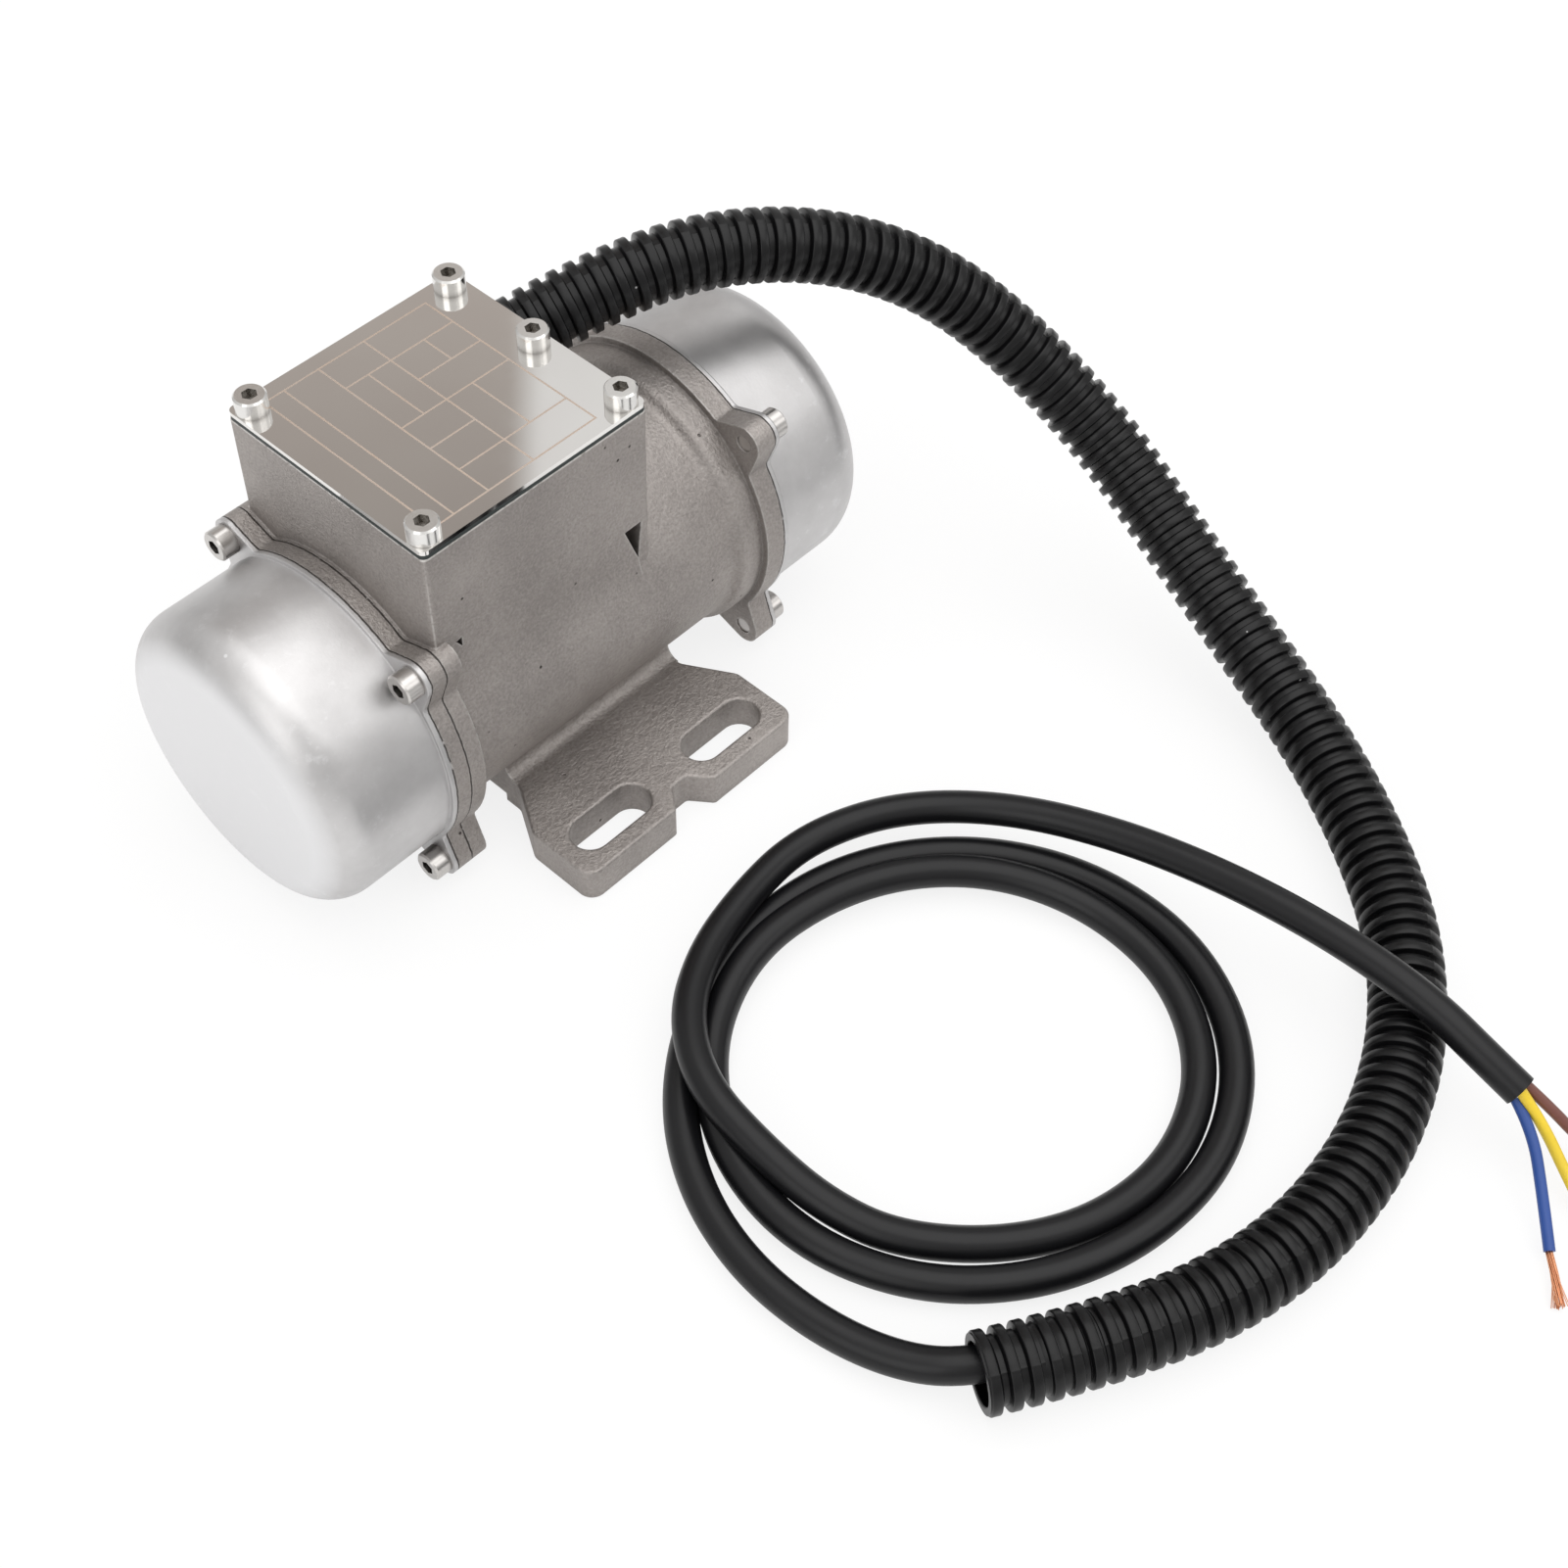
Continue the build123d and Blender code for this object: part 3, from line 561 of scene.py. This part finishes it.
cablePiece = {
    "diameter": 7.4,
    "lead": [(-52, -196.5, 7.3), (-62.5, -190, 7.3), (-70, -178.5, 4.8), (-74.5, -162, 3.8),
             (-75, -143.5, 3.7), (-70, -125.5, 3.7), (-59.5, -109.5, 3.7), (-44.5, -97.5, 3.7)],
    "centre": (-8.0, -142.0),
    "radii": ((110, 55), (75, 53.2), (45, 52.8), (15, 54.6), (-10, 57.2), (-30, 58.5), (-60, 58.8),
              (-85, 56.2), (-110, 54.2), (-135, 54.6), (-160, 55.6), (-186, 56.3), (-205, 55),
              (-240, 52.6), (-265, 49.6), (-285, 46.9), (-315, 46.3), (-345, 47.4), (-395, 50.8),
              (-425, 50.2), (-450, 48.4), (-475, 46.2), (-500, 45.2)),
    "heights": ((110, 3.7), (-215, 3.7), (-260, 6.1), (-320, 6.1), (-370, 3.7), (-500, 3.7)),
    "step": 26,
    "tail": [(-50.5, -161.5, 4.4), (-55.5, -146, 6.2), (-56, -129.5, 8.4), (-54.5, -112, 10.8),
             (-45, -97.5, 10.8), (-30, -88.5, 9.6), (-12.5, -84, 8.6), (5, -82.5, 8.2), (21.5, -88, 8.6),
             (34.5, -98.5, 9.8), (45, -114.5, 12), (52, -135, 15), (55.5, -156, 18.2), (57, -176, 20.6),
             (57.5, -195, 21.6), (57, -211.5, 20.8), (56, -224, 18), (56, -233.5, 15)],
}


def between(table, angle):  # a value read off straight lines from angle to angle
    for (a, r), (b, s) in zip(table, table[1:]):
        if b <= angle <= a:
            return r + (s - r) * (a - angle) / (a - b)
    return table[-1][1]


def makeCable(values):
    points = list(values["lead"])
    angle, last = values["radii"][0][0], values["radii"][-1][0]
    x, y = values["centre"]
    while angle > last:  # the loose turns, by their angle about the coil's centre
        r, turn = between(values["radii"], angle), math.radians(angle)
        points.append((x + r * math.cos(turn), y + r * math.sin(turn), between(values["heights"], angle)))
        angle -= values["step"]
    points += values["tail"]
    piece = routeCurve("cable", points, values["diameter"])
    dress(piece, "jacket")
    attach(piece, "base")
    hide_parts("cable_lead", "cable_coil", "cable_tail")
    length = Track(pointsAlong(points), (0, 0, 1)).length
    print("cable length", round(length, 4))
    return piece, points, length


cable, cableRoute, cableLength = makeCable(cablePiece)

corePieces = {
    "blue": [(54.9, -233.5, 13.4), (52.6, -239.8, 10.6), (45, -248, 6.2), (36.8, -255.8, 2.6)],
    "yellow": [(55.3, -233.5, 16.2), (55.9, -240, 10.4), (53.7, -248.6, 4), (50.2, -255.2, 2.4)],
    "brown": [(57.7, -233.5, 15.4), (59.3, -239.5, 11.5), (60.8, -246.5, 6.4), (62.3, -254, 2.6)],
}
strandLook = {
    "seed": 11, "count": 34, "core": 2.4, "thick": 0.21, "long": 12.3, "short": 0.93, "sunk": 0.6,
    "bundle": 0.75, "spread": 1.3, "twist": 1.3, "stray": 0.08, "droop": 1.2, "lowest": 0.2, "bends": 4,
}


def makeCores(routes, look):  # insulated cores, each ending in a fan of copper strands
    made = []
    draw = random.Random(look["seed"])
    curve = bpy.data.curves.new("copper_wires", "CURVE")
    curve.dimensions = "3D"
    curve.bevel_depth = look["thick"] * mm / 2
    curve.bevel_resolution = 2
    curve.use_fill_caps = True
    for shadeName, points in routes.items():
        piece = routeCurve("core_" + shadeName + "_wire", points, look["core"], 12)
        dress(piece, shadeName)
        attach(piece, "base")
        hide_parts("core_" + shadeName)
        made.append(piece)
        a, b = Vector(points[-2]), Vector(points[-1])
        way = b - a
        way.z = 0
        way.normalize()
        side = way.cross(Vector((0, 0, 1)))
        for _ in range(look["count"]):
            turn = draw.uniform(0, 2 * math.pi)
            start = look["bundle"] * math.sqrt(draw.random())
            spread = start + look["spread"] * draw.random() ** 2
            spline = curve.splines.new("NURBS")
            spline.points.add(look["bends"])
            for i, spot in enumerate(spline.points):
                t = i / look["bends"]
                r = start + (spread - start) * t ** 2 + draw.uniform(-look["stray"], look["stray"]) * t
                angle = turn + look["twist"] * t
                place = b + way * (look["long"] * t * draw.uniform(look["short"], 1.0) - look["sunk"])
                place = place + side * (r * math.cos(angle))
                place.z = max(look["lowest"], b.z + r * math.sin(angle) - look["droop"] * t * t)
                spot.co = [part * mm for part in place] + [1]
            spline.order_u = 3
            spline.use_endpoint_u = True
    wires = bpy.data.objects.new("copper_wires", curve)
    bpy.context.scene.collection.objects.link(wires)
    dress(wires, "wire")
    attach(wires, "base")
    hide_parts("copper_strands")
    return made + [wires]


corePieceList = makeCores(corePieces, strandLook)
tuple(part * mm for part in cableRoute[0])
cablePiece["diameter"] * mm
print("cords laid")


# Floor and light; the shares are how white the floor looks to the camera and in the metal
floorLook = {"half": 4, "level": -0.0002, "paper": shade(0.92, 0.92, 0.92), "seen": 0.82, "mirrored": 0.42}


def makeFloor(look):
    mesh = bpy.data.meshes.new("floor")
    half, level = look["half"], look["level"]
    places = [(-half, -half, level), (half, -half, level), (half, half, level), (-half, half, level)]
    mesh.from_pydata(places, [], [(0, 1, 2, 3)])
    floor = bpy.data.objects.new("floor", mesh)
    bpy.context.scene.collection.objects.link(floor)
    finish = Finish("floorPaper", Roughness=0.9, Base_Color=look["paper"])
    seen = finish.add("ShaderNodeLightPath", {}, {}, "Is Camera Ray")
    mirrored = finish.add("ShaderNodeLightPath", {}, {}, "Is Glossy Ray")
    glow = finish.add("ShaderNodeEmission", {}, {"Color": shade(1, 1, 1), "Strength": 1.0})
    paper = Wire(finish, finish.shader.outputs[0])
    share = seen * look["seen"] + mirrored * look["mirrored"]
    mixed = finish.add("ShaderNodeMixShader", {}, {0: share, 1: paper, 2: glow})
    finish.tree.links.new(mixed.socket, finish.tree.nodes["Material Output"].inputs["Surface"])
    mesh.materials.append(finish.made)


skyLook = {
    "wall": shade(0.52, 0.515, 0.51), "ceiling": shade(1.0, 0.99, 0.98),
    "flag": shade(0.50, 0.452, 0.42), "flagFoot": shade(0.38, 0.345, 0.32), "flagRise": (0.62, 0.70),
    "flagWay": (0.45, 0.60, 0.66), "flagWide": (0.93, 0.97),
    "flagSide": (0.665, -0.747, 0.0), "flagEdge": (-0.107, -0.119),
}


def makeWorld(look):  # a soft round sky with one darker flag behind the motor
    world = bpy.data.worlds.new("studio")
    bpy.context.scene.world = world
    world.use_nodes = True
    sky = Nodes(world.node_tree, "Generated")

    def along(way, low, high):
        return sky.ramp(sky.alike(sky.spot, way), low, high)

    up = (0, 0, 1)
    dome = sky.blend(along(up, 0.0, 1.0), look["wall"], look["ceiling"])
    flag = sky.blend(along(up, *look["flagRise"]), look["flag"], look["flagFoot"])
    share = along(look["flagWay"], *look["flagWide"]) * along(look["flagSide"], *look["flagEdge"])
    soft = sky.add("ShaderNodeBackground", {}, {"Color": sky.blend(share, dome, flag)})
    white = sky.add("ShaderNodeBackground", {}, {"Color": shade(1, 1, 1)})
    seen = sky.add("ShaderNodeLightPath", {}, {}, "Is Camera Ray")
    both = sky.add("ShaderNodeMixShader", {}, {0: seen, 1: soft, 2: white})
    sky.tree.links.new(both.socket, sky.tree.nodes["World Output"].inputs["Surface"])


lamps = {
    "top": {"place": (0.15, -0.2, 1.3), "aim": (0, -0.05, 0.03), "size": (1.6, 1.4), "power": 8.5},
    "left": {"place": (-1.2, -0.3, 0.7), "aim": (0, -0.05, 0.04), "size": (0.8, 0.9), "power": 3},
    "right": {"place": (0.7, -1.2, 0.9), "aim": (0.02, -0.08, 0.03), "size": (0.8, 0.6), "power": 2},
}


def makeLamps(table):
    for name, values in table.items():
        data = bpy.data.lights.new(name, "AREA")
        data.shape = "RECTANGLE"
        data.size, data.size_y = values["size"]
        data.energy = values["power"]
        lamp = bpy.data.objects.new(name, data)
        lamp.location = values["place"]
        away = Vector(values["place"]) - Vector(values["aim"])
        lamp.rotation_euler = away.to_track_quat("Z", "Y").to_euler()
        bpy.context.scene.collection.objects.link(lamp)


makeFloor(floorLook)
makeWorld(skyLook)
makeLamps(lamps)
print("floor and light set")
